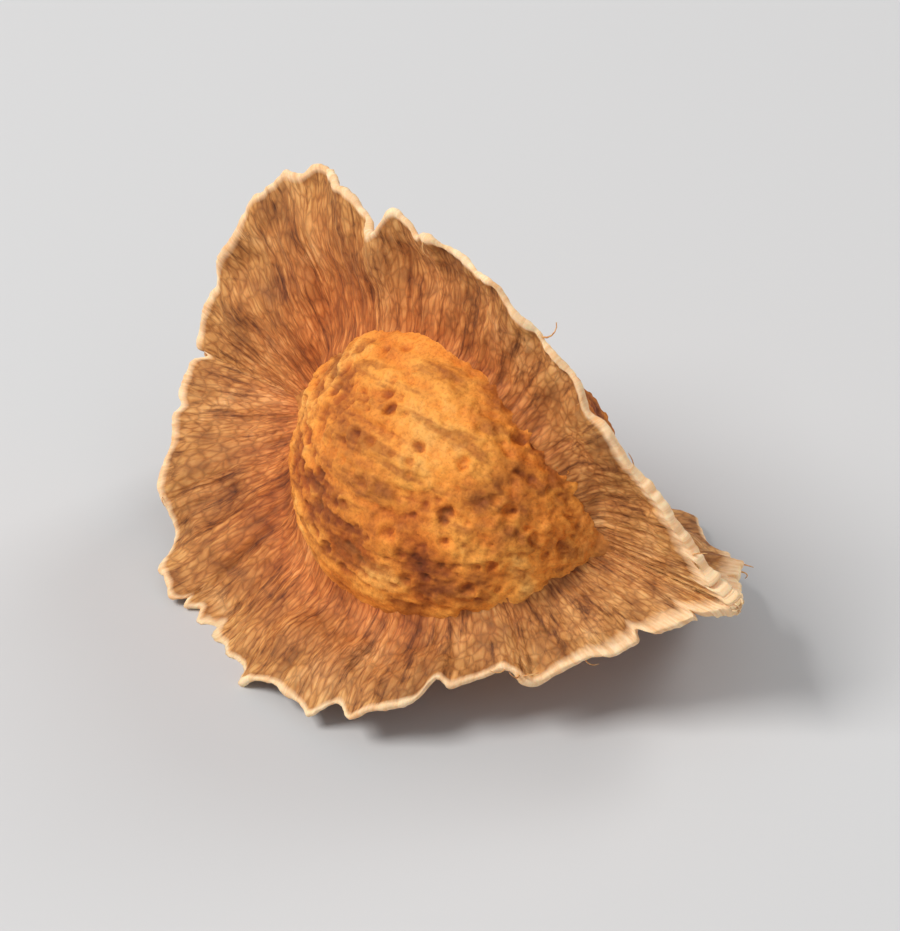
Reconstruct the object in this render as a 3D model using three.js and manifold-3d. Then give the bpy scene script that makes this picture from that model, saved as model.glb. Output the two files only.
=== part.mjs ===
// One winged moringa seed, dried and whole. A rounded three-sided hull carries three papery wings that run
// from its blunt end to its beak. The seed lies on the margins of its two lower wings, the third upright.
// Units are millimetres. X runs along the seed towards the beak, and Z is up from the surface it lies on.
import * as THREE from "three";
import { mergeVertices } from "three/addons/utils/BufferGeometryUtils.js";
import Module from "manifold-3d";

const wasm = await Module();
wasm.setup();

// Driving dimensions of the whole seed
const SEED_LENGTH = 21;
const HULL_LENGTH = 11.2;
const HULL_RADIUS = 4.7;
const AXIS_HEIGHT = 4.74;
const AXIS_SIDE = 0.16;
const TRIM_DEPTH = 4;

// The hull: how full its ends are, how three-sided it is, and how deep its dents are
const HULL_FULLNESS = 0.56;
const HULL_CORNERING = 0.055;
const DENT_DEPTH = 0.11;
const SMALL_DENT_SHARE = 0.6;

// The core is where the wings meet past the hull, from the hull out to each tip
const CORE_RADIUS = 1.05;
const CORE_TIP_RADIUS = 0.42;
const CORE_BLEND = 3;

// Wing tissue: thin at the margin, flaring into the hull at the root
const MARGIN_THICKNESS = 0.62;
const ROOT_FLARE = 0.95;
const FLARE_REACH = 0.55;
const WING_TIP_RADIUS = 0.75;

// Scalloped margins: how many bites a wing has, how deep and how round they are, and how uneven in width
const BITES = 14;
const BITE_SHALLOW = 0.14;
const BITE_RANGE = 0.62;
const BITE_JITTER = 0.7;
const BITE_ROUNDNESS = 0.8;

// Pleats that run from the root of a wing to its margin: depth of each set, and radians of wave per station
const PLEATS = [
  { depth: 0.2, turns: 5.3 },
  { depth: 0.13, turns: 13 },
  { depth: 0.1, turns: 27 },
];

// A wing leaves the hull flat and bends more and more on its way out. These powers say how late that starts.
const SWAY_POWER = 1.4;
const PLEAT_POWER = 0.8;

// How finely each form is drawn
const WING_STATIONS = 60;
const WING_ROWS = 6;
const ROW_CROWDING = 0.9;
const HULL_STATIONS = 46;
const HULL_SIDES = 36;

// Each wing has its own direction round the axis, reach, end shapes, sway out of its plane, and torn place.
// Angles are in degrees from +Y towards +Z. A station of -1 is the blunt end and 1 is the beak.
const WINGS = [
  {
    angle: 91, radius: 9.2, bluntPower: 3.6, bluntRound: 0.5, beakPower: 2.1, beakRound: 1.9,
    sway: 1.0, swayTurns: 0.62, swayPhase: 0.15, twist: 5,
    tearAt: -0.36, tearWidth: 0.085, tearDepth: 1.3, seed: 3,
  },
  {
    angle: 212, radius: 9.15, bluntPower: 3.0, bluntRound: 0.6, beakPower: 2.2, beakRound: 1.9,
    sway: 0.85, swayTurns: 0.55, swayPhase: 0.7, twist: -4,
    tearAt: 0.44, tearWidth: 0.08, tearDepth: 1.1, seed: 41,
  },
  {
    angle: 329, radius: 9.3, bluntPower: 3.3, bluntRound: 0.52, beakPower: 3.0, beakRound: 1.5,
    sway: 0.9, swayTurns: 0.5, swayPhase: -0.45, twist: 4,
    tearAt: 0.12, tearWidth: 0.1, tearDepth: 0.9, seed: 87,
  },
];

// A repeatable draw from 0 to 1 for a whole number
function draw(n) {
  const value = Math.sin(n * 12.9898 + 4.1414) * 43758.5453;
  return value - Math.floor(value);
}

// Radius of the body without its corners and dents, at a distance x along the axis
function bodyRadius(x) {
  const along = Math.min(1, Math.abs(x) / (HULL_LENGTH / 2));
  const hull = HULL_RADIUS * (1 - along ** 2) ** HULL_FULLNESS;
  const out = Math.min(1, Math.abs(x) / (SEED_LENGTH / 2));
  const core = CORE_RADIUS + (CORE_TIP_RADIUS - CORE_RADIUS) * out;
  return (hull ** CORE_BLEND + core ** CORE_BLEND) ** (1 / CORE_BLEND);
}

// How far the skin of the hull stands out from or sinks below its smooth form
function hullRelief(x, angle) {
  const broad = Math.sin(1.15 * x + 2 * angle + 0.4) * Math.cos(3 * angle - 0.5 * x);
  const small = Math.sin(2.3 * x - 4 * angle + 1.7);
  const fade = Math.min(1, bodyRadius(x) / HULL_RADIUS);
  return DENT_DEPTH * fade * (broad + SMALL_DENT_SHARE * small);
}

// A closed mesh as a solid that can be joined and cut
function solidOf(geometry) {
  const bare = geometry.clone();
  bare.deleteAttribute("normal");
  bare.deleteAttribute("uv");
  const merged = mergeVertices(bare, 1e-5);
  return new wasm.Manifold(
    new wasm.Mesh({
      numProp: 3,
      vertProperties: new Float32Array(merged.attributes.position.array),
      triVerts: new Uint32Array(merged.index.array),
    }),
  );
}

// The hull and core: a turned profile laid along X, made three-sided and dented
function bodySolid() {
  const profile = [new THREE.Vector2(0, -SEED_LENGTH / 2)];
  for (let i = 1; i < HULL_STATIONS; i++) {
    const x = -Math.cos((Math.PI * i) / HULL_STATIONS) * (SEED_LENGTH / 2);
    profile.push(new THREE.Vector2(bodyRadius(x), x));
  }
  profile.push(new THREE.Vector2(0, SEED_LENGTH / 2));
  const body = new THREE.LatheGeometry(profile, HULL_SIDES);
  const place = body.attributes.position;
  for (let i = 0; i < place.count; i++) {
    const x = place.getY(i);
    const angle = Math.atan2(place.getX(i), place.getZ(i));
    const radius = Math.hypot(place.getX(i), place.getZ(i));
    const upright = THREE.MathUtils.degToRad(WINGS[0].angle);
    const cornered = radius * (1 + HULL_CORNERING * Math.cos(3 * (angle - upright)));
    const skin = radius > 0 ? cornered + hullRelief(x, angle) : 0;
    place.setXYZ(i, x, skin * Math.cos(angle), skin * Math.sin(angle));
  }
  return solidOf(body);
}

// Stations crowd towards both ends, where a margin turns most sharply
function stationAlong(share) {
  const s = 2 * share - 1;
  return s * (1.5 - 0.5 * s * s);
}

// Depth of the scallop at a share of the way along a margin: bites of uneven width, with points between them
function biteDepth(wing, share) {
  const border = (k) => (k + BITE_JITTER * (draw(wing.seed + k) - 0.5)) / BITES;
  let k = Math.floor(share * BITES);
  if (share < border(k)) k -= 1;
  if (share > border(k + 1)) k += 1;
  const inside = (share - border(k)) / (border(k + 1) - border(k));
  const depth = BITE_SHALLOW + BITE_RANGE * draw(wing.seed + 50 + k);
  return depth * Math.sin(Math.PI * THREE.MathUtils.clamp(inside, 0, 1)) ** BITE_ROUNDNESS;
}

// Distance from the axis to a wing's margin. Bites and the torn place fade out towards both tips.
function marginRadius(wing, share) {
  const u = stationAlong(share);
  const [power, round] = u < 0 ? [wing.bluntPower, wing.bluntRound] : [wing.beakPower, wing.beakRound];
  const spread = (1 - Math.abs(u) ** power) ** round;
  const tear = wing.tearDepth * Math.exp(-(((u - wing.tearAt) / wing.tearWidth) ** 2));
  const nibbled = (biteDepth(wing, share) + tear) * Math.min(1, 2 * spread);
  return WING_TIP_RADIUS + (wing.radius - WING_TIP_RADIUS) * spread - nibbled;
}

// A point of a wing: share runs along the seed, row from the root to the margin, and face is 1 or -1
function wingPoint(wing, share, row, face) {
  const u = stationAlong(share);
  const x = (u * SEED_LENGTH) / 2;
  const skin = bodyRadius(x);
  const root = skin / 2;
  const margin = marginRadius(wing, share);
  const radius = root + (margin - root) * row;
  const outside = THREE.MathUtils.clamp((radius - skin) / (wing.radius - HULL_RADIUS), 0, 1);
  const bend = Math.sin(Math.PI * 2 * (wing.swayTurns * u + wing.swayPhase));
  const waves = PLEATS.map((set, k) => set.depth * Math.sin(set.turns * u + (k + 1) * wing.seed));
  const pleat = waves.reduce((sum, wave) => sum + wave, 0);
  const sway = outside ** SWAY_POWER * wing.sway * bend + outside ** PLEAT_POWER * pleat;
  const flare = ROOT_FLARE * Math.exp(-Math.max(0, radius - skin) / FLARE_REACH);
  const across = sway + (face * (MARGIN_THICKNESS + flare)) / 2;
  const angle = THREE.MathUtils.degToRad(wing.angle + wing.twist * u);
  const y = radius * Math.cos(angle) - across * Math.sin(angle);
  const z = radius * Math.sin(angle) + across * Math.cos(angle);
  return [x, y, z];
}

// A wing: two sheets that share one pattern of triangles, closed by a strip round their edge
function wingSolid(wing) {
  const columns = WING_STATIONS + 1;
  const rows = WING_ROWS + 1;
  const positions = [];
  for (const face of [1, -1]) {
    for (let i = 0; i < columns; i++) {
      for (let j = 0; j < rows; j++) {
        positions.push(...wingPoint(wing, i / WING_STATIONS, (j / WING_ROWS) ** ROW_CROWDING, face));
      }
    }
  }
  const at = (i, j, sheet) => sheet * columns * rows + i * rows + j;
  const triangles = [];
  for (let i = 0; i < WING_STATIONS; i++) {
    for (let j = 0; j < WING_ROWS; j++) {
      const [a, b, c, d] = [at(i, j, 0), at(i + 1, j, 0), at(i + 1, j + 1, 0), at(i, j + 1, 0)];
      const back = columns * rows;
      triangles.push(a, b, c, a, c, d);
      triangles.push(a + back, c + back, b + back, a + back, d + back, c + back);
    }
  }
  const rim = [];
  for (let i = 0; i < WING_STATIONS; i++) rim.push([i, 0]);
  for (let j = 0; j < WING_ROWS; j++) rim.push([WING_STATIONS, j]);
  for (let i = WING_STATIONS; i > 0; i--) rim.push([i, WING_ROWS]);
  for (let j = WING_ROWS; j > 0; j--) rim.push([0, j]);
  rim.forEach(([i, j], k) => {
    const [m, n] = rim[(k + 1) % rim.length];
    triangles.push(at(i, j, 0), at(i, j, 1), at(m, n, 1), at(i, j, 0), at(m, n, 1), at(m, n, 0));
  });
  const blade = new THREE.BufferGeometry();
  blade.setAttribute("position", new THREE.Float32BufferAttribute(positions, 3));
  blade.setIndex(triangles);
  return solidOf(blade);
}

// What is under the surface that the seed lies on, which presses the lower margins flat where they touch
function surfaceSolid() {
  const slab = new THREE.BoxGeometry(2 * SEED_LENGTH, 2 * SEED_LENGTH, TRIM_DEPTH);
  return solidOf(slab.translate(0, 0, -TRIM_DEPTH / 2));
}

// Its outermost skin alone, so that a pocket sealed in where the wings meet is filled
function filled(solid) {
  return solid.decompose().reduce((largest, skin) => (skin.volume() > largest.volume() ? skin : largest));
}

// A solid as a geometry to draw
function geometryOf(solid) {
  const mesh = solid.getMesh();
  const geometry = new THREE.BufferGeometry();
  geometry.setAttribute("position", new THREE.BufferAttribute(mesh.vertProperties, 3));
  geometry.setIndex(new THREE.BufferAttribute(mesh.triVerts, 1));
  geometry.computeVertexNormals();
  return geometry;
}

const grown = WINGS.map(wingSolid).reduce((whole, wing) => whole.add(wing), bodySolid());
const lying = filled(filled(grown).translate([0, AXIS_SIDE, AXIS_HEIGHT]).subtract(surfaceSolid()));

const dryCoat = new THREE.MeshStandardMaterial({ color: 0xb07a4c, roughness: 0.85, metalness: 0 });
const seed = new THREE.Mesh(geometryOf(lying), dryCoat);
seed.name = "winged_seed";

const moringaSeed = new THREE.Group();
moringaSeed.add(seed);

export default moringaSeed;
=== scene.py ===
# %% [markdown]
# # A winged moringa seed
# The real seed is a corky hull about a centimetre across, with papery wings that run from its blunt end to
# its beak. We load the plain solid first, because every size and place in this lesson comes from it.

# %% Load the solid
import math

import bmesh
import bpy
import numpy as np
from mathutils import Matrix, Vector


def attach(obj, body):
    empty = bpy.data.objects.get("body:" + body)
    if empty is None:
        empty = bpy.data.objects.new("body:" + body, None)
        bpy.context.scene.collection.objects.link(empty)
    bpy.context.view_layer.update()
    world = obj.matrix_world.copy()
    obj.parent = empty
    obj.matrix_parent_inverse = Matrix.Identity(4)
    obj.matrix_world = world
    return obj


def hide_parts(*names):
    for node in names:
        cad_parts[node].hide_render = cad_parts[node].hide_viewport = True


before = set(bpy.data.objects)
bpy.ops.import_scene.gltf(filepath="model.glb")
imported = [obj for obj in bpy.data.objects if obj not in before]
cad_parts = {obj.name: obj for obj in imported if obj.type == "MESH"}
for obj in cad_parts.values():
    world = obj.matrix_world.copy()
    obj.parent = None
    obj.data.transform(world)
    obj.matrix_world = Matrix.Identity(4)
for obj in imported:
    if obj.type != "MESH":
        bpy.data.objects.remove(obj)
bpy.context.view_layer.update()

# %% [markdown]
# ## The camera
# The photograph shows the seed's side square on, between two wings, with the beak pointing down to the
# right. The seed lies on a surface, so we look down on that side and let the beak come towards us. A long
# lens keeps the near wing from looking too large.

# %% Place the camera
VIEW_AZIMUTH = math.radians(38)
VIEW_ELEVATION = math.radians(38)
VIEW_DISTANCE = 0.118
LENS_MM = 150
AIM = (0.0001, -0.0004, 0.0054)


def direction(azimuth, elevation):
    """The unit vector from the seed towards a place at this azimuth and elevation."""
    flat = math.cos(elevation)
    return Vector((math.sin(azimuth) * flat, -math.cos(azimuth) * flat, math.sin(elevation)))


def aimed_from(offset):
    """The rotation of a camera or lamp that stands at this offset and looks back along it."""
    return (-offset).to_track_quat("-Z", "Y").to_euler()


offset = direction(VIEW_AZIMUTH, VIEW_ELEVATION) * VIEW_DISTANCE
bpy.ops.object.camera_add(location=Vector(AIM) + offset, rotation=aimed_from(offset))
camera = bpy.context.object
camera.data.lens = LENS_MM
camera.data.clip_start = 0.005
bpy.context.scene.camera = camera

# %% [markdown]
# ## Sizes
# We model in millimetres, as the solid was, and scale each finished piece to metres. The seed's axis
# runs along X with the beak at the positive end. Angles round the axis run from +Y towards +Z.
#
# A wing's margin has one curve for its blunt half and one for its beak half, each given by a power and a
# roundness: over 1, the roundness makes it sweep in to a point. A tear is given by its place along the
# wing from -1 to 1, its width there and its depth. Each wing's own random draws start at its number.

# %% Driving sizes in millimetres
SEED_LENGTH = 21
HULL_LENGTH = 11.2
HULL_RADIUS = 4.7
AXIS_HEIGHT = 4.74
AXIS_SIDE = 0.16
MM = 0.001

HULL_FULLNESS = 0.56
HULL_CORNERING = 0.055
CORE_RADIUS = 1.05
CORE_TIP_RADIUS = 0.42
CORE_BLEND = 3

WINGS = {
    "crest_wing": dict(
        angle=91, radius=9.2, blunt=(3.6, 0.5), beak=(2.1, 1.9),
        sway=1.0, sway_turns=0.62, sway_phase=0.15, twist=5, tear=(-0.36, 0.085, 1.3), draws=3,
    ),
    "front_wing": dict(
        angle=212, radius=9.15, blunt=(3.0, 0.6), beak=(2.2, 1.9),
        sway=0.85, sway_turns=0.55, sway_phase=0.7, twist=-4, tear=(0.44, 0.08, 1.1), draws=41,
    ),
    "back_wing": dict(
        angle=329, radius=9.3, blunt=(3.3, 0.52), beak=(3.0, 1.5),
        sway=0.9, sway_turns=0.5, sway_phase=-0.45, twist=4, tear=(0.12, 0.1, 0.9), draws=87,
    ),
}
CREST_ANGLE = math.radians(WINGS["crest_wing"]["angle"])


def draw(n):
    """A repeatable draw from 0 to 1 for a whole number."""
    value = math.sin(n * 12.9898 + 4.1414) * 43758.5453
    return value - math.floor(value)


def body_radius(x):
    """The radius of the hull and of the core past its ends, at a distance along the axis."""
    along = min(1, abs(x) / (HULL_LENGTH / 2))
    hull = HULL_RADIUS * (1 - along**2) ** HULL_FULLNESS
    out = min(1, abs(x) / (SEED_LENGTH / 2))
    core = CORE_RADIUS + (CORE_TIP_RADIUS - CORE_RADIUS) * out
    return (hull**CORE_BLEND + core**CORE_BLEND) ** (1 / CORE_BLEND)


print("hull radius at the middle", round(body_radius(0), 2), "mm")

# %% [markdown]
# ## Picking and moving vertices
# Dried plant tissue is shaped a ring or a fibre at a time, so the same two steps come back for every
# piece: select some vertices by number, then scale, turn or move them about a centre that we name.

# %% Helpers for edit mode
def start_piece(name):
    """Names the new primitive, which is the active object, and opens it in edit mode."""
    piece = bpy.context.object
    piece.name = name
    piece.data.name = name
    bpy.ops.object.mode_set(mode="EDIT")
    bpy.ops.mesh.select_mode(type="VERT")
    return piece


def pick(piece, numbers):
    """Selects these vertices and no others."""
    bpy.ops.mesh.select_all(action="DESELECT")
    mesh = bmesh.from_edit_mesh(piece.data)
    mesh.verts.ensure_lookup_table()
    for number in numbers:
        mesh.verts[number].select_set(True)
    mesh.select_flush(True)
    bmesh.update_edit_mesh(piece.data, loop_triangles=False, destructive=False)


def scale_picked(factors, centre):
    bpy.ops.transform.resize(value=factors, center_override=centre)


def turn_picked(angle, axis, centre):
    """Turns by the right-hand rule. Without a window the operator turns the other way, so the sign flips."""
    bpy.ops.transform.rotate(value=-angle, orient_axis=axis, orient_type="GLOBAL", center_override=centre)


def move_picked(step):
    bpy.ops.transform.translate(value=step)


def places(piece):
    """The vertices' coordinates as an array, in object mode."""
    found = np.empty(len(piece.data.vertices) * 3, np.float32)
    piece.data.vertices.foreach_get("co", found)
    return found.reshape(-1, 3)


def keep_numbers(piece, name, numbers):
    """Stores one number for each vertex under a name that a material can read."""
    kept = piece.data.attributes.new(name=name, type="FLOAT", domain="POINT")
    kept.data.foreach_set("value", np.ascontiguousarray(numbers, np.float32))


def apply_modifier(piece, kind, **settings):
    """Adds a modifier to the piece and applies it at once."""
    modifier = piece.modifiers.new(kind.lower(), kind)
    for name, value in settings.items():
        setattr(modifier, name, value)
    bpy.context.view_layer.objects.active = piece
    bpy.ops.object.modifier_apply(modifier=modifier.name)


# %% [markdown]
# ## Relief textures
# Lumps, pits and fibres are real relief on this seed, so Displace modifiers raise them from the surface.
# Each one reads a noise texture whose size is a real one in millimetres. After the relief is applied we
# store how far each vertex moved. The materials read that number later to paint shade into the pits and
# hollows.

# %% Relief helpers
def relief_texture(name, size, kind="CLOUDS", contrast=1.0, depth=2, profile=()):
    """A noise with features this many millimetres across. Its profile's stops are (input, height)."""
    texture = bpy.data.textures.new(name, kind)
    texture.noise_scale = size
    texture.contrast = contrast
    if kind == "CLOUDS":
        texture.noise_depth = depth
    if profile:
        texture.use_color_ramp = True
        ramp = texture.color_ramp
        while len(ramp.elements) < len(profile):
            ramp.elements.new(0.5)
        for element, (position, height) in zip(ramp.elements, profile):
            element.position = position
            element.color = (height, height, height, 1)
    return texture


def raise_reliefs(piece, reliefs, **settings):
    """Displaces the piece by each relief in turn. A relief is {name: (height, texture settings)}."""
    for name, (height, look) in reliefs.items():
        texture = relief_texture(name, **look)
        apply_modifier(piece, "DISPLACE", texture=texture, strength=height, mid_level=0.5, **settings)


def stretched_empty(name, size):
    """An empty whose space is stretched, so that a texture read through it is drawn out along an axis."""
    bpy.ops.object.empty_add(location=(0, 0, 0))
    empty = bpy.context.object
    empty.name = name
    empty.scale = size
    bpy.context.view_layer.update()
    return empty


# %% [markdown]
# ## The hull
# The hull is a corky ball with three blunt corners, one under each wing, drawn out to a thin core at
# both ends. A sphere is the quickest start. Its rings are scaled to the profile and its two end caps are
# extruded to make the core. Its lines of longitude are then scaled: to the three corners on the hull, and
# past it to three flutes, because there the core is only the seam where the wings meet.

# %% Shape the hull
HULL_SIDES = 84
HULL_RINGS = 56
CORE_STEPS = 6
CORE_END = 10.15
CORE_POINT = 0.45
CAP_START = 0.9975
RIDGE_HEIGHT = 0.035
RIDGE_WIDTH = math.radians(9)
VALLEY_DEPTH = 0.78
FLUTE_HEIGHT = 0.7
FLUTE_WIDTH = math.radians(18)
PAST_HULL = HULL_LENGTH / 2 + 0.01


def groups_by(values):
    """Vertex numbers gathered by a rounded value: {value: [numbers]}."""
    gathered = {}
    for number, value in enumerate(values):
        gathered.setdefault(value, []).append(number)
    return gathered


def towards_wings(angle, width):
    """1 in line with a wing, and less by a bell curve of this width to both sides of it."""
    apart = [math.remainder(angle - math.radians(wing["angle"]), 2 * math.pi) for wing in WINGS.values()]
    return max(math.exp(-((a / width) ** 2)) for a in apart)


def cornering(angle):
    """How much further out the hull is at an angle: blunt corners, each with a ridge that meets a wing."""
    corner = HULL_CORNERING * math.cos(3 * (angle - CREST_ANGLE))
    return 1 + corner + RIDGE_HEIGHT * towards_wings(angle, RIDGE_WIDTH)


def fluting(angle):
    """The same for the core, which is drawn out into the wings and hollow between them."""
    return 1 - VALLEY_DEPTH + FLUTE_HEIGHT * towards_wings(angle, FLUTE_WIDTH)


def extrude_core(hull, side):
    """Draws one end cap out to the tip of the core. side is 1 for the beak and -1 for the blunt end."""
    end = side * HULL_LENGTH / 2
    vertices = bmesh.from_edit_mesh(hull.data).verts
    pick(hull, [v.index for v in vertices if side * v.co.x > CAP_START * HULL_LENGTH / 2])
    x = end
    for step in range(1, CORE_STEPS + 1):
        ahead = end + side * (CORE_END - HULL_LENGTH / 2) * step / CORE_STEPS
        bpy.ops.mesh.extrude_region_move(TRANSFORM_OT_translate={"value": (ahead - x, 0, 0)})
        shrink = body_radius(ahead) / body_radius(x) * (CORE_POINT if step == CORE_STEPS else 1)
        scale_picked((1, shrink, shrink), (ahead, 0, 0))
        x = ahead


bpy.ops.object.select_all(action="DESELECT")
bpy.ops.mesh.primitive_uv_sphere_add(
    segments=HULL_SIDES, ring_count=HULL_RINGS, radius=1, rotation=(0, math.pi / 2, 0)
)
bpy.ops.object.transform_apply(rotation=True)
hull = start_piece("hull")
bpy.ops.mesh.select_all(action="SELECT")
scale_picked((HULL_LENGTH / 2, 1, 1), (0, 0, 0))
rings = groups_by(round(v.co.x, 3) for v in bmesh.from_edit_mesh(hull.data).verts)
for x, ring in rings.items():
    if len(ring) == HULL_SIDES:
        pick(hull, ring)
        sphere = math.sqrt(max(1e-6, 1 - (2 * x / HULL_LENGTH) ** 2))
        scale_picked((1, body_radius(x) / sphere, body_radius(x) / sphere), (x, 0, 0))
for side in (1, -1):
    extrude_core(hull, side)
turns = [
    (round(math.atan2(v.co.z, v.co.y), 2), abs(v.co.x) > PAST_HULL)
    for v in bmesh.from_edit_mesh(hull.data).verts
]
for (angle, is_core), line in groups_by(turns).items():
    lift = fluting(angle) if is_core else cornering(angle)
    pick(hull, line)
    scale_picked((1, lift, lift), (0, 0, 0))
bpy.ops.object.mode_set(mode="OBJECT")
print("hull cage:", len(hull.data.polygons), "faces")

# %% [markdown]
# The skin is spongy: broad dents, craters with raised rims about half a millimetre across, lines that
# run from end to end, pores half as wide as the craters, and a fine grain over all. They go on from the
# largest to the smallest. The core past the hull is firm, and so is the seam under each wing, so a vertex
# group fades the relief out there.

# %% Give the hull its relief
CORK_FADE = 1.2
CORE_RELIEF = 0.1
SEAM_FADE = 0.85
SEAM_WIDTH = math.radians(13)
STREAK_STRETCH = (3.2, 0.42, 0.42)
CRATER_PROFILE = [(0, 0), (0.2, 0.26), (0.36, 0.66), (0.6, 0.52)]
PORE_PROFILE = [(0, 0), (0.16, 0.2), (0.34, 0.5), (0.6, 0.56)]
DENTS = {"broad_dents": (0.55, dict(size=2.4, depth=1))}
STREAKS = {"streaks": (0.2, dict(size=1.0, contrast=1.4))}
PITS = {
    "craters": (0.34, dict(size=0.85, kind="VORONOI", profile=CRATER_PROFILE)),
    "pores": (0.2, dict(size=0.42, kind="VORONOI", profile=PORE_PROFILE)),
    "grain": (0.09, dict(size=0.2, contrast=1.6)),
}


def finish_hull(hull):
    """Rounds the cage, marks where it is spongy, raises the relief there and stores how high it stands."""
    cork = hull.vertex_groups.new(name="cork")
    for number, (x, y, z) in enumerate(places(hull)):
        past = (abs(float(x)) - HULL_LENGTH / 2 + CORK_FADE / 2) / CORK_FADE
        spongy = min(1, max(CORE_RELIEF, 1 - past))
        seam = SEAM_FADE * towards_wings(math.atan2(z, y), SEAM_WIDTH)
        cork.add([number], spongy * (1 - seam), "REPLACE")
    apply_modifier(hull, "SUBSURF", levels=2, render_levels=2)
    smooth = places(hull)
    outward = smooth * (0, 1, 1)
    outward /= np.maximum(np.linalg.norm(outward, axis=1), 1e-6)[:, None]
    space = stretched_empty("streak_space", STREAK_STRETCH)
    drawn_out = dict(texture_coords="OBJECT", texture_coords_object=space)
    raise_reliefs(hull, DENTS, vertex_group="cork")
    raise_reliefs(hull, STREAKS, vertex_group="cork", **drawn_out)
    raise_reliefs(hull, PITS, vertex_group="cork")
    bpy.data.objects.remove(space)
    keep_numbers(hull, "relief", ((places(hull) - smooth) * outward).sum(axis=1))


finish_hull(hull)
print("hull:", len(hull.data.polygons), "faces")

# %% [markdown]
# ## The wings
# A wing is a sheet of fibres that leave the hull and fan out to a scalloped margin. A grid gives one
# column for each group of fibres. We stand it upright over the axis, scale each column to its fibre's
# length, bend it sideways at a few hinges, lean it towards the beak or the blunt end, and move its foot
# to where the fibre leaves the hull. The margin then follows the same curve as the solid's.

# %% The margin's curve
CROWDING = 0.5
WING_TIP_RADIUS = 0.75
CLOSED_TIP_RADIUS = 0.02
CLOSING = 0.2
BITES = 14
BITE_SHALLOW = 0.14
BITE_RANGE = 0.62
BITE_JITTER = 0.7
BITE_ROUNDNESS = 0.8
BITE_FADE = 2
PLEATS = [(0.2, 5.3), (0.13, 13), (0.1, 27)]
SWAY_POWER = 1.4
PLEAT_POWER = 0.8


def station_along(share):
    """Stations crowd towards both ends, where a margin turns most sharply."""
    s = 2 * share - 1
    return s * (1 + CROWDING - CROWDING * s * s)


def bite_depth(wing, share):
    """How deep the scallop is at a share of the way along: bites of uneven width, points between them."""
    def border(k):
        return (k + BITE_JITTER * (draw(wing["draws"] + k) - 0.5)) / BITES

    k = math.floor(share * BITES)
    if share < border(k):
        k -= 1
    if share > border(k + 1):
        k += 1
    inside = min(1, max(0, (share - border(k)) / (border(k + 1) - border(k))))
    depth = BITE_SHALLOW + BITE_RANGE * draw(wing["draws"] + 50 + k)
    return depth * math.sin(math.pi * inside) ** BITE_ROUNDNESS


def margin_radius(wing, share):
    """The distance from the axis to a wing's margin."""
    u = station_along(share)
    power, roundness = wing["blunt"] if u < 0 else wing["beak"]
    spread = (1 - abs(u) ** power) ** roundness
    at, width, depth = wing["tear"]
    tear = depth * math.exp(-(((u - at) / width) ** 2))
    nibbled = (bite_depth(wing, share) + tear) * min(1, BITE_FADE * spread)
    closed = math.sqrt(min(1, (1 - abs(u)) / CLOSING))
    tip = CLOSED_TIP_RADIUS + (WING_TIP_RADIUS - CLOSED_TIP_RADIUS) * closed
    return tip + (wing["radius"] - WING_TIP_RADIUS) * spread - nibbled


def margin_sway(wing, u, radius):
    """How far the margin stands out of the wing's plane."""
    out = (radius - body_radius(u * SEED_LENGTH / 2)) / (wing["radius"] - HULL_RADIUS)
    out = min(1, max(0, out))
    bend = math.sin(2 * math.pi * (wing["sway_turns"] * u + wing["sway_phase"]))
    pleat = sum(d * math.sin(t * u + (k + 1) * wing["draws"]) for k, (d, t) in enumerate(PLEATS))
    return out**SWAY_POWER * wing["sway"] * bend + out**PLEAT_POWER * pleat


# %% Bend a grid into a wing
GRID_SIDE = 1
COLUMNS = 132
ROWS = 18
FAN = 0.93
ROOT_DEPTH = 0.5
ROOT_POWER = 6
HINGE_ROWS = [5, 8, 11, 14]
FRAY = 0.12
FRAY_FULL_AT = 2.5
SPLITS = 7
SPLIT_DEPTH = 0.9


def fibre_of(wing, column):
    """Where a column's fibre starts and ends in the wing's own plane: two points (along, out)."""
    share = column / COLUMNS
    u = station_along(share)
    root_x = FAN * u * HULL_LENGTH / 2
    root = Vector((root_x, ROOT_DEPTH * body_radius(root_x) * (1 - abs(u) ** ROOT_POWER)))
    radius = margin_radius(wing, share)
    fray = FRAY * min(1, radius / FRAY_FULL_AT) * draw(wing["draws"] * 7 + column)
    return root, Vector((u * SEED_LENGTH / 2, radius - fray))


def shape_column(piece, wing, column, numbers, shortening):
    """Scales, bends, leans and places one column, whose vertices run from its foot to the margin."""
    root, tip = fibre_of(wing, column)
    length = (tip - root).length - shortening
    u = 2 * tip.x / SEED_LENGTH
    x = bmesh.from_edit_mesh(piece.data).verts[numbers[0]].co.x
    pick(piece, numbers)
    scale_picked((1, 1, length), (x, 0, 0))
    levers = sum(1 - row / ROWS for row in HINGE_ROWS)
    bend = margin_sway(wing, u, tip.y) / (length * levers)
    for row in HINGE_ROWS:
        mesh = bmesh.from_edit_mesh(piece.data)
        mesh.verts.ensure_lookup_table()
        hinge = mesh.verts[numbers[row]].co.copy()
        pick(piece, numbers[row:])
        turn_picked(bend, "X", hinge)
    pick(piece, numbers)
    turn_picked(math.atan2(tip.x - root.x, tip.y - root.y), "Y", (x, 0, 0))
    move_picked((root.x - x, 0, root.y))
    turn_picked(math.radians(wing["twist"] * u), "X", (0, 0, 0))


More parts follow.
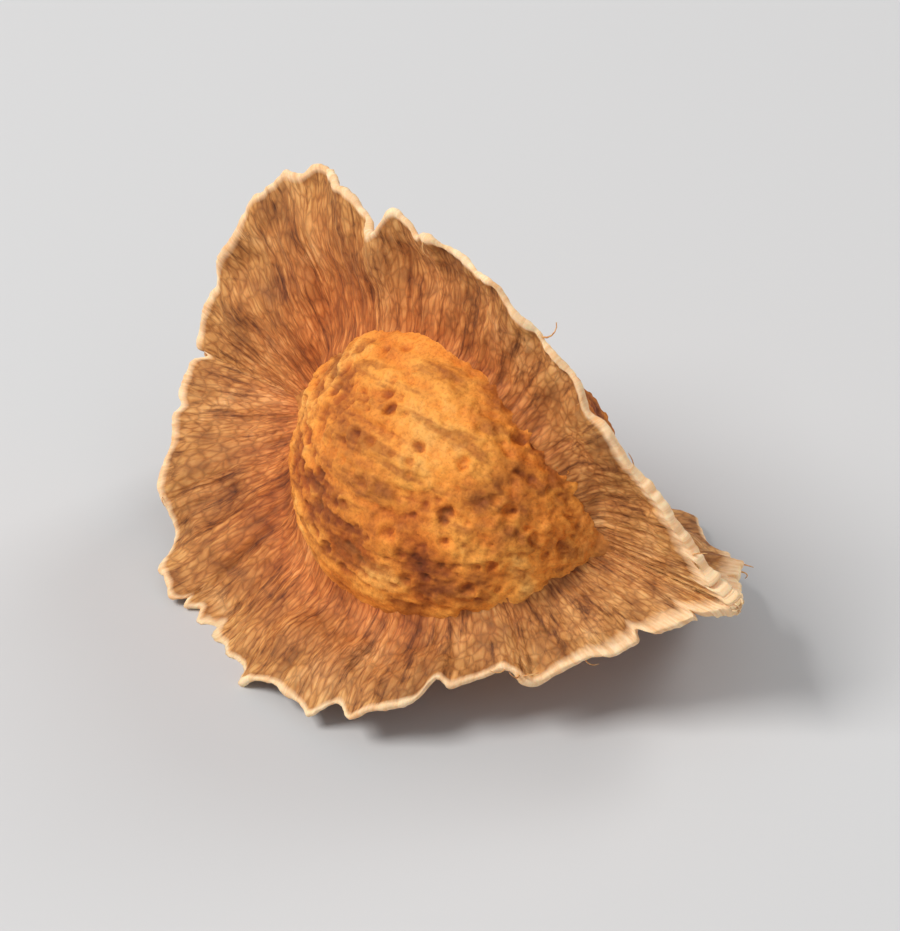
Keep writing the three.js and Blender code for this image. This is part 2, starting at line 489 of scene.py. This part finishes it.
def wing_cage(name, wing):
    """A grid that stands over the axis, with its columns bent into the wing's fibres."""
    bpy.ops.object.select_all(action="DESELECT")
    bpy.ops.mesh.primitive_grid_add(x_subdivisions=COLUMNS, y_subdivisions=ROWS, size=GRID_SIDE)
    piece = start_piece(name)
    bpy.ops.mesh.select_all(action="SELECT")
    move_picked((0, GRID_SIDE / 2, 0))
    scale_picked((SEED_LENGTH / GRID_SIDE, 1, 1), (0, 0, 0))
    turn_picked(math.pi / 2, "X", (0, 0, 0))
    columns = groups_by(round(v.co.x, 3) for v in bmesh.from_edit_mesh(piece.data).verts)
    split_at = {int(draw(wing["draws"] + 200 + k) * COLUMNS) for k in range(SPLITS)}
    for column, x in enumerate(sorted(columns)):
        mesh = bmesh.from_edit_mesh(piece.data)
        mesh.verts.ensure_lookup_table()
        numbers = sorted(columns[x], key=lambda n: mesh.verts[n].co.z)
        shortening = SPLIT_DEPTH * draw(column) if column in split_at else 0
        shape_column(piece, wing, column, numbers, shortening)
    bpy.ops.object.mode_set(mode="OBJECT")
    return piece


cages = {name: wing_cage(name, wing) for name, wing in WINGS.items()}
for name, cage in cages.items():
    low, high = places(cage).min(axis=0), places(cage).max(axis=0)
    print(name, "cage spans", low.round(2), "to", high.round(2), "mm")

# %% [markdown]
# The grid's UV map already numbers the fibres: U runs along the seed and V along a fibre. We stretch U to
# millimetres, so that fibre relief and fibre colour are drawn at their real spacing, and leave V short, so
# that a pattern is drawn out along the fibres. Three more numbers go on each vertex: how near it is to
# the margin, for the cream rim, how thick the wing is, and how far it stands free of the hull, because
# only the free part crumples.

# %% Fibre map, rim and thickness
FIBRE_MAP_LENGTH = 0.5
RIM_WIDTH = 0.19
BEAK_RIM_WIDTH = 0.56
BEAK_STARTS = 0.55
BEAK_FULL = 0.88
BLUNT_SHARE = 0.15
WING_THICKNESS = 0.17
ROOT_FLARE = 1.5
FLARE_REACH = 0.5
FULL_FLARE_RADIUS = 3
FREE_REACH = 2.2
ROLLED_EDGE = 0.06
BEAK_ROLLED_EDGE = 0.22
ROLL_REACH = 0.22
THICKEST = WING_THICKNESS + ROOT_FLARE


def mark_wing(piece, wing):
    """Writes the fibre map, the rim, the thickness and the free part on a wing's cage."""
    grid = np.array([loop.uv[:] for loop in piece.data.uv_layers.active.data])
    numbers = np.array([loop.vertex_index for loop in piece.data.loops])
    column = np.empty(len(piece.data.vertices))
    row = np.empty(len(piece.data.vertices))
    column[numbers] = grid[:, 0] * COLUMNS
    row[numbers] = grid[:, 1]
    fibre = [fibre_of(wing, round(c)) for c in column]
    length = np.array([(tip - root).length for root, tip in fibre])
    u = np.array([2 * tip.x / SEED_LENGTH for _, tip in fibre])
    to_margin = length * (1 - row)
    near_tip = np.clip((np.abs(u) - BEAK_STARTS) / (BEAK_FULL - BEAK_STARTS), 0, 1)
    near_beak = near_tip * np.where(u < 0, BLUNT_SHARE, 1)
    keep_numbers(piece, "rim", to_margin / (RIM_WIDTH + (BEAK_RIM_WIDTH - RIM_WIDTH) * near_beak))
    at = places(piece)
    skin = np.array([body_radius(x) for x in at[:, 0]])
    off_skin = np.maximum(0, np.hypot(at[:, 1], at[:, 2]) - skin)
    flare = ROOT_FLARE * np.minimum(1, skin / FULL_FLARE_RADIUS) * np.exp(-off_skin / FLARE_REACH)
    roll = ROLLED_EDGE + (BEAK_ROLLED_EDGE - ROLLED_EDGE) * near_beak
    roll *= np.exp(-to_margin / ROLL_REACH)
    thickness = piece.vertex_groups.new(name="thickness")
    free = piece.vertex_groups.new(name="free")
    for number, weight in enumerate((WING_THICKNESS + flare + roll) / THICKEST):
        thickness.add([number], min(1, float(weight)), "REPLACE")
        free.add([number], min(1, float(off_skin[number]) / FREE_REACH), "REPLACE")
    fibres = np.column_stack([grid[:, 0] * SEED_LENGTH, grid[:, 1] * FIBRE_MAP_LENGTH])
    piece.data.uv_layers.active.data.foreach_set("uv", fibres.astype(np.float32).ravel())


for name, wing in WINGS.items():
    mark_wing(cages[name], wing)
print("thickest root", THICKEST, "mm")

# %% [markdown]
# A dried wing is crumpled before it is thick: the sheet is wrinkled first, while it has no thickness, and
# Solidify then gives it one, thin at the margin and thick at the root. The fibres come last, as ridges on
# both faces. The finished wing is turned to its angle, and the table cuts it flat where it presses on it.
# The cut edge is a margin too, so its rim is measured again, as the distance down the wing to the table.

# %% Finish the wings
CRUMPLE = {"crumple": (1.1, dict(size=2.6, depth=1))}
WRINKLES = {"wrinkles": (0.42, dict(size=2.2, contrast=1.3))}
FIBRE_RIDGES = {
    "fibres": (0.08, dict(size=0.42, contrast=1.3)),
    "strands": (0.1, dict(size=1.3, contrast=1.4)),
}
SPONGE = {"sponge": (0.07, dict(size=0.36, contrast=1.5))}


def lay_down(piece, angle=math.pi / 2):
    """Turns an upright piece to its angle, lifts it to the seed's axis and trims it at the surface."""
    bpy.ops.object.select_all(action="DESELECT")
    piece.select_set(True)
    bpy.context.view_layer.objects.active = piece
    bpy.ops.object.mode_set(mode="EDIT")
    bpy.ops.mesh.select_all(action="SELECT")
    turn_picked(angle - math.pi / 2, "X", (0, 0, 0))
    move_picked((0, AXIS_SIDE, AXIS_HEIGHT))
    bpy.ops.mesh.bisect(plane_co=(0, 0, 0), plane_no=(0, 0, 1), use_fill=True, clear_inner=True)
    bpy.ops.mesh.select_all(action="SELECT")
    bpy.ops.mesh.normals_make_consistent(inside=False)
    scale_picked((MM, MM, MM), (0, 0, 0))
    bpy.ops.object.mode_set(mode="OBJECT")
    bpy.ops.object.shade_smooth()


def mark_pressed_margin(piece, wing):
    """Lets the rim follow the edge that the table cut, as well as the margin that grew."""
    rim = piece.data.attributes["rim"].data
    grown = np.empty(len(rim), np.float32)
    rim.foreach_get("value", grown)
    slope = abs(math.sin(math.radians(wing["angle"])))
    pressed = places(piece)[:, 2] / (MM * slope * RIM_WIDTH)
    rim.foreach_set("value", np.minimum(grown, pressed))


def finish_wing(piece, wing):
    """Crumples the sheet, thickens it, raises its fibres on both faces and lays it down."""
    apply_modifier(piece, "SUBSURF", levels=1, render_levels=1, uv_smooth="NONE")
    raise_reliefs(piece, CRUMPLE, vertex_group="free")
    raise_reliefs(piece, WRINKLES, vertex_group="free", texture_coords="UV")
    thickness = dict(thickness=THICKEST, vertex_group="thickness", thickness_vertex_group=0)
    apply_modifier(piece, "SOLIDIFY", offset=0, **thickness)
    apply_modifier(piece, "SUBSURF", levels=1, render_levels=1, uv_smooth="NONE")
    smooth = places(piece)
    normals = np.array([vertex.normal[:] for vertex in piece.data.vertices])
    raise_reliefs(piece, FIBRE_RIDGES, texture_coords="UV")
    raise_reliefs(piece, SPONGE)
    keep_numbers(piece, "relief", ((places(piece) - smooth) * normals).sum(axis=1))
    lay_down(piece, math.radians(wing["angle"]))
    mark_pressed_margin(piece, wing)


for name, wing in WINGS.items():
    finish_wing(cages[name], wing)
    print(name, len(cages[name].data.polygons), "faces")
lay_down(hull)

# %% [markdown]
# ## Frayed fibres
# Where a margin is torn, single fibres stick out of it. One fibre is a thin six-sided rod, extruded ring
# by ring and turned a little each time. Its copies are scaled and turned at random and set on the
# margins, with their roots sunk in the wing.

# %% Make one curled fibre
FIBRE_LENGTH = 0.75
FIBRE_RADIUS = 0.03
FIBRE_TAPER = 0.35
FIBRE_RINGS = 6
FIBRE_CURLS = [0.7, 1.3, 2.0, 2.8]


def curled_fibre(name, curl):
    """A fibre that leaves the origin along Z and curls over towards X."""
    step = FIBRE_LENGTH / FIBRE_RINGS
    bpy.ops.object.select_all(action="DESELECT")
    bpy.ops.mesh.primitive_cylinder_add(vertices=6, radius=FIBRE_RADIUS, depth=step)
    piece = start_piece(name)
    bpy.ops.mesh.select_all(action="SELECT")
    move_picked((0, 0, step / 2))
    pick(piece, [v.index for v in bmesh.from_edit_mesh(piece.data).verts if v.co.z > step / 2])
    taper = FIBRE_TAPER ** (1 / FIBRE_RINGS)
    bend = Matrix.Rotation(curl / FIBRE_RINGS, 3, "Y")
    heading = Vector((0, 0, step))
    end = heading.copy()
    for ring in range(1, FIBRE_RINGS):
        heading.rotate(bend)
        end += heading
        bpy.ops.mesh.extrude_region_move(TRANSFORM_OT_translate={"value": heading})
        turn_picked(curl / FIBRE_RINGS, "Y", end)
        scale_picked((taper, taper, taper), end)
    bpy.ops.object.mode_set(mode="OBJECT")
    return piece


patterns = [curled_fibre(f"fibre_{number}", curl) for number, curl in enumerate(FIBRE_CURLS)]

# %% Set the fibres on the margins
FIBRES_PER_WING = 6
FIBRE_SMALLEST = 0.45
FIBRE_SPREAD = 0.75
FIBRE_SINK = 0.12
FIBRE_LEAN = 2.2
CLEAR_OF_TABLE = 1.1
CLEAR_OF_TIPS = 9.2
ON_MARGIN = 0.02


def margin_spots(wing_piece):
    """Places on a finished wing's margin that are clear of the table, with the way out of each."""
    rim = np.empty(len(wing_piece.data.vertices), np.float32)
    wing_piece.data.attributes["rim"].data.foreach_get("value", rim)
    vertices = [wing_piece.data.vertices[int(number)] for number in np.flatnonzero(rim < ON_MARGIN)]
    clear = [v for v in vertices if v.co.z > CLEAR_OF_TABLE * MM and abs(v.co.x) < CLEAR_OF_TIPS * MM]
    return [(v.co.copy(), v.normal.copy()) for v in clear]


def set_fibre(pattern, place, outward, number):
    """A copy of the pattern, rooted at a place on a margin."""
    fibre = pattern.copy()
    fibre.data = pattern.data.copy()
    bpy.context.collection.objects.link(fibre)
    size = FIBRE_SMALLEST + FIBRE_SPREAD * draw(number)
    lean = Vector((draw(number + 1) - 0.5, draw(number + 2) - 0.5, draw(number + 3) - 0.5))
    facing = (outward + FIBRE_LEAN * lean).to_track_quat("Z", "X").to_matrix().to_4x4()
    spin = Matrix.Rotation(2 * math.pi * draw(number + 4), 4, "Z")
    root = place - outward * FIBRE_SINK * MM
    fibre.data.transform(Matrix.Translation(root) @ facing @ spin @ Matrix.Scale(size * MM, 4))
    return fibre


def frayed_fibres():
    """All the fibres of the three margins in one piece."""
    fibres = []
    for order, wing_piece in enumerate(cages.values()):
        spots = margin_spots(wing_piece)
        for k in range(FIBRES_PER_WING):
            number = 1000 * (order + 1) + 10 * k
            place, outward = spots[int(draw(number + 5) * len(spots))]
            pattern = patterns[int(draw(number + 6) * len(patterns))]
            fibres.append(set_fibre(pattern, place, outward, number))
    bpy.ops.object.select_all(action="DESELECT")
    for fibre in fibres:
        fibre.select_set(True)
    bpy.context.view_layer.objects.active = fibres[0]
    bpy.ops.object.join()
    bpy.ops.object.shade_smooth()
    fibres[0].name = "frayed_fibres"
    return fibres[0]


fibres = frayed_fibres()
for pattern in patterns:
    bpy.data.objects.remove(pattern)
print("frayed fibres:", len(fibres.data.polygons), "faces")

# %% [markdown]
# ## Materials
# Painted shade follows the relief: the cork is left pale where it stands out and darkened in its pits, and
# the wings are the same tissue, thinner and paler, darkened with painted shade in their hollows, with a
# cream rim where only fibres are left.
# One helper adds a node with its settings and its links. The short ones after it make the nodes that come
# back in every finish: a noise, a stored number, a colour ramp, a bump and the shader.

# %% Material helpers
MIX_A, MIX_B, MIX_COLOUR = 6, 7, 2


def linear(code):
    """A hex colour, which is sRGB, as the linear values that Blender works in."""
    parts = [int(code[k : k + 2], 16) / 255 for k in (1, 3, 5)]
    return [p / 12.92 if p <= 0.04045 else ((p + 0.055) / 1.055) ** 2.4 for p in parts] + [1]


def new_material(name):
    material = bpy.data.materials.new(name)
    material.use_nodes = True
    material.node_tree.nodes.clear()
    return material, material.node_tree


def add_node(tree, kind, settings=None, links=None):
    """Adds a node, sets its inputs and properties, and links its inputs to other nodes' outputs."""
    node = tree.nodes.new(kind)
    for name, value in (settings or {}).items():
        if isinstance(name, int) or name in node.inputs:
            node.inputs[name].default_value = value
        else:
            setattr(node, name, value)
    for name, output in (links or {}).items():
        tree.links.new(output, node.inputs[name])
    return node


def in_millimetres(tree, stretch=(1, 1, 1)):
    """Object coordinates in millimetres, drawn out by stretch, so that a scale of 1 is one a millimetre."""
    coordinates = add_node(tree, "ShaderNodeTexCoord").outputs["Object"]
    scale = tuple(1 / (MM * s) for s in stretch)
    return add_node(tree, "ShaderNodeMapping", {"Scale": scale}, {"Vector": coordinates}).outputs["Vector"]


def noise(tree, vector, scale, detail, roughness):
    settings = {"Scale": scale, "Detail": detail, "Roughness": roughness}
    return add_node(tree, "ShaderNodeTexNoise", settings, {"Vector": vector}).outputs["Fac"]


def stored(tree, name):
    """The number that each vertex keeps under this name."""
    return add_node(tree, "ShaderNodeAttribute", {"attribute_name": name}).outputs["Fac"]


def ranged(tree, value, low, high, start=0, end=1):
    """The value moved from the range low to high into the range start to end, and kept inside it."""
    settings = {"From Min": low, "From Max": high, "To Min": start, "To Max": end}
    return add_node(tree, "ShaderNodeMapRange", settings, {"Value": value}).outputs["Result"]


def ramped(tree, value, stops):
    """A value from 0 to 1 as a colour. The stops are (value, hex colour)."""
    node = add_node(tree, "ShaderNodeValToRGB", links={"Fac": value})
    elements = node.color_ramp.elements
    while len(elements) < len(stops):
        elements.new(0.5)
    for element, (position, code) in zip(elements, stops):
        element.position = position
        element.color = linear(code)
    return node.outputs["Color"]


def mixed(tree, blend, share, a, b):
    """Two colours mixed. The share of b is a number or another node's output."""
    settings = {"data_type": "RGBA", "blend_type": blend}
    links = {MIX_A: a, MIX_B: b}
    if isinstance(share, (int, float)):
        settings[0] = share
    else:
        links[0] = share
    return add_node(tree, "ShaderNodeMix", settings, links).outputs[MIX_COLOUR]


def darkened(tree, colour, share, value, stops):
    """The colour multiplied by a ramp's colour at a value."""
    return mixed(tree, "MULTIPLY", share, colour, ramped(tree, value, stops))


def relief_share(tree, reach):
    """The stored relief from 0 in the hollows to 1 on the heights, both this many millimetres off."""
    return ranged(tree, stored(tree, "relief"), -reach, reach)


def bumped(tree, height, strength, distance, below=None):
    """A bump of this many millimetres, on top of another one where that is given."""
    links = {"Height": height}
    if below:
        links["Normal"] = below
    settings = {"Strength": strength, "Distance": distance * MM}
    return add_node(tree, "ShaderNodeBump", settings, links).outputs["Normal"]


def add_shader(tree, settings, links=None):
    shader = add_node(tree, "ShaderNodeBsdfPrincipled", settings, links)
    add_node(tree, "ShaderNodeOutputMaterial", links={"Surface": shader.outputs["BSDF"]})


# %% [markdown]
# ### Seed coat
# The hull is dead cork: a spongy tissue that dried on the seed. To the eye it is matt, orange brown in broad
# patches, with lines from end to end, and its pits are darkened with painted shade. Cork's IOR is near 1.45.

# %% Make the seed coat
CORK_IOR = 1.45
PATCH_STOPS = [(0.33, "#b06525"), (0.45, "#e38d33"), (0.56, "#fdab48"), (0.7, "#ffc46c")]
LINE_STRETCH = (6, 1, 1)
LINE_STOPS = [(0.36, "#a3805f"), (0.48, "#ffffff"), (0.64, "#ffe9cf")]
LINE_SHARE = 0.6
# Painted shade: the cork is darkened where its relief sinks into pits.
PIT_SHADE_REACH = 0.3
PIT_SHADE_STOPS = [(0.1, "#4f2f19"), (0.34, "#b68d6b"), (0.5, "#fbeddf"), (0.72, "#ffffff")]
PIT_SHADE_SHARE = 0.9
FLECK_STOPS = [(0.35, "#b39a86"), (0.55, "#ffffff")]
FLECK_SHARE = 0.45
CORE_STOPS = [(0.35, "#8a5a2e"), (0.5, "#b0733c"), (0.65, "#c48a50")]


def seed_coat():
    """Orange patches, darkened by the lines, by painted shade in the pits and by fine flecks, and browner on
    the core.
    """
    material, tree = new_material("corky_seed_coat")
    place = in_millimetres(tree)
    lines = noise(tree, in_millimetres(tree, LINE_STRETCH), scale=1.9, detail=3, roughness=0.5)
    grain = noise(tree, place, scale=9, detail=4, roughness=0.7)
    colour = ramped(tree, noise(tree, place, scale=0.4, detail=5, roughness=0.62), PATCH_STOPS)
    colour = darkened(tree, colour, LINE_SHARE, lines, LINE_STOPS)
    # Painted shade in the pits, read from the stored relief.
    colour = darkened(tree, colour, PIT_SHADE_SHARE, relief_share(tree, PIT_SHADE_REACH), PIT_SHADE_STOPS)
    colour = darkened(tree, colour, FLECK_SHARE, grain, FLECK_STOPS)
    along = add_node(tree, "ShaderNodeSeparateXYZ", links={"Vector": place}).outputs["X"]
    out = add_node(tree, "ShaderNodeMath", {"operation": "ABSOLUTE"}, {0: along}).outputs["Value"]
    firm = ranged(tree, out, HULL_LENGTH / 2 - CORK_FADE / 2, HULL_LENGTH / 2 + CORK_FADE)
    colour = mixed(tree, "MIX", firm, colour, ramped(tree, lines, CORE_STOPS))
    add_shader(
        tree,
        {"Roughness": 0.68, "IOR": CORK_IOR, "Specular IOR Level": 0.4},
        {"Base Color": colour, "Normal": bumped(tree, grain, strength=0.7, distance=0.06)},
    )
    return material


# %% [markdown]
# ### Wing tissue
# A wing is the same tissue pressed to a paper: sheets of long dead cells, tan, with darker fibres a
# fifth of a millimetre apart that follow the fibre map. Its rim has lost its colour. The sheet is thin
# enough for some light to pass through, which subsurface scattering gives. Real cells are too fine to
# show, so they are drawn about a sixth of a millimetre wide.

# %% Make the wing tissue
TISSUE_STOPS = [(0.32, "#a87543"), (0.45, "#cd9656"), (0.57, "#e3ad6b"), (0.72, "#f2c78c")]
FIBRE_STOPS = [(0.38, "#80593b"), (0.48, "#f3e2cf"), (0.58, "#ffffff")]
FIBRE_SHARE = 0.8
CELLS_A_MM = 6.5
CELL_ROWS = 4
CELL_STOPS = [(0.0, "#8a6446"), (0.1, "#d8bb9b"), (0.24, "#ffffff")]
CELL_SHARE = 0.5
# Painted shade: the wing is darkened where its relief sinks into hollows.
HOLLOW_SHADE_REACH = 0.08
HOLLOW_SHADE_STOPS = [(0.05, "#7d5538"), (0.4, "#dcc3aa"), (0.58, "#ffffff")]
HOLLOW_SHADE_SHARE = 0.55
TINT_RIMS = (2, 20)
TINT_STOPS = [(0, "#ffffff"), (1, "#ffb36a")]
TINT_SHARE = 0.6
RIM_STOPS = [(0.34, "#e6ae76"), (0.62, "#fddcb0")]
RIM_RAGGEDNESS = 1.2
RIM_FADE = (1.2, 2.0)


def wing_tissue():
    """Tan patches, darkened by fibres and cells and by painted shade in the hollows, warmer near the hull
    and cream at the rim.
    """
    material, tree = new_material("papery_wing_tissue")
    place = in_millimetres(tree)
    fibre_map = add_node(tree, "ShaderNodeUVMap", {"uv_map": "UVMap"}).outputs["UV"]
    fibres = noise(tree, fibre_map, scale=4.6, detail=7, roughness=0.74)
    cell_map = add_node(tree, "ShaderNodeMapping", {"Scale": (1, CELL_ROWS, 1)}, {"Vector": fibre_map})
    cells = add_node(
        tree,
        "ShaderNodeTexVoronoi",
        {"feature": "DISTANCE_TO_EDGE", "Scale": CELLS_A_MM},
        {"Vector": cell_map.outputs["Vector"]},
    ).outputs["Distance"]
    rim = stored(tree, "rim")
    colour = ramped(tree, noise(tree, place, scale=0.5, detail=4, roughness=0.6), TISSUE_STOPS)
    colour = darkened(tree, colour, FIBRE_SHARE, fibres, FIBRE_STOPS)
    colour = darkened(tree, colour, CELL_SHARE, cells, CELL_STOPS)
    # Painted shade in the hollows, read from the stored relief.
    colour = darkened(tree, colour, HOLLOW_SHADE_SHARE, relief_share(tree, HOLLOW_SHADE_REACH), HOLLOW_SHADE_STOPS)
    colour = darkened(tree, colour, TINT_SHARE, ranged(tree, rim, *TINT_RIMS), TINT_STOPS)
    edge = noise(tree, fibre_map, scale=1.6, detail=5, roughness=0.7)
    ragged_settings = {"operation": "MULTIPLY_ADD", 1: RIM_RAGGEDNESS}
    ragged = add_node(tree, "ShaderNodeMath", ragged_settings, {0: edge, 2: rim}).outputs["Value"]
    bare = ranged(tree, ragged, *RIM_FADE, start=1, end=0)
    colour = mixed(tree, "MIX", bare, colour, ramped(tree, fibres, RIM_STOPS))
    grain = noise(tree, place, scale=11, detail=3, roughness=0.7)
    grainy = bumped(tree, grain, strength=0.4, distance=0.04)
    add_shader(
        tree,
        {
            "Roughness": 0.7,
            "IOR": CORK_IOR,
            "Specular IOR Level": 0.35,
            "Subsurface Weight": 0.25,
            "Subsurface Radius": (1.0, 0.5, 0.25),
            "Subsurface Scale": 0.25 * MM,
        },
        {"Base Color": colour, "Normal": bumped(tree, cells, strength=0.35, distance=0.06, below=grainy)},
    )
    return material


# %% [markdown]
# ### Loose fibres
# A loose fibre is a single strand of cell wall, so one tan with a little grain is enough.

# %% Make the fibres' finish and dress the pieces
STRAND_STOPS = [(0.35, "#b97a42"), (0.6, "#dba86c")]


def bleached_fibre():
    material, tree = new_material("bleached_fibre")
    grain = noise(tree, in_millimetres(tree), scale=6, detail=2, roughness=0.5)
    add_shader(
        tree,
        {"Roughness": 0.7, "IOR": CORK_IOR, "Subsurface Weight": 0.2, "Subsurface Scale": 0.2 * MM},
        {"Base Color": ramped(tree, grain, STRAND_STOPS)},
    )
    return material


hull.data.materials.append(seed_coat())
tissue = wing_tissue()
for cage in cages.values():
    cage.data.materials.append(tissue)
fibres.data.materials.clear()
fibres.data.materials.append(bleached_fibre())

# %% [markdown]
# ## The stage
# The floor is a plain pale sheet, as under a product photograph. A broad lamp at the upper left gives
# the soft shadow that falls to the lower right. A weaker one fills it, and one behind shines through the
# wings and shows how thin they are.

# %% Floor and lamps
FLOOR_SIZE = 3
FLOOR_SHADE = "#c7c6c5"
SKY_SHADE = "#f4f6fa"
SKY_STRENGTH = 0.42
LAMPS = {
    "key_lamp": dict(azimuth=-38, elevation=50, distance=0.34, size=0.14, watts=1.0),
    "fill_lamp": dict(azimuth=75, elevation=28, distance=0.42, size=0.3, watts=0.13),
    "back_lamp": dict(azimuth=170, elevation=42, distance=0.36, size=0.14, watts=0.38),
}


def add_floor():
    bpy.ops.object.select_all(action="DESELECT")
    bpy.ops.mesh.primitive_plane_add(size=FLOOR_SIZE, location=(0, 0, 0))
    floor = bpy.context.object
    floor.name = "floor"
    material, tree = new_material("pale_paper")
    add_shader(tree, {"Base Color": linear(FLOOR_SHADE), "Roughness": 0.9})
    floor.data.materials.append(material)


def add_lamp(name, azimuth, elevation, distance, size, watts):
    offset = direction(math.radians(azimuth), math.radians(elevation)) * distance
    bpy.ops.object.light_add(type="AREA", location=Vector(AIM) + offset, rotation=aimed_from(offset))
    lamp = bpy.context.object
    lamp.name = name
    lamp.data.size = size
    lamp.data.energy = watts


def light_sky():
    world = bpy.data.worlds.new("studio")
    world.use_nodes = True
    background = world.node_tree.nodes["Background"]
    background.inputs["Color"].default_value = linear(SKY_SHADE)
    background.inputs["Strength"].default_value = SKY_STRENGTH
    bpy.context.scene.world = world


add_floor()
for name, lamp in LAMPS.items():
    add_lamp(name, **lamp)
light_sky()
bpy.context.scene.view_settings.view_transform = "Standard"

# %% [markdown]
# ## Hand the pieces over
# Every piece rides on the seed's one body and stands for the plain solid, which is hidden.

pieces = [(hull, "seed_coat"), (fibres, "wing_tissue")]
pieces += [(cage, "wing_tissue") for cage in cages.values()]
for piece, slot in pieces:
    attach(piece, "root")
    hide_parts("winged_seed")
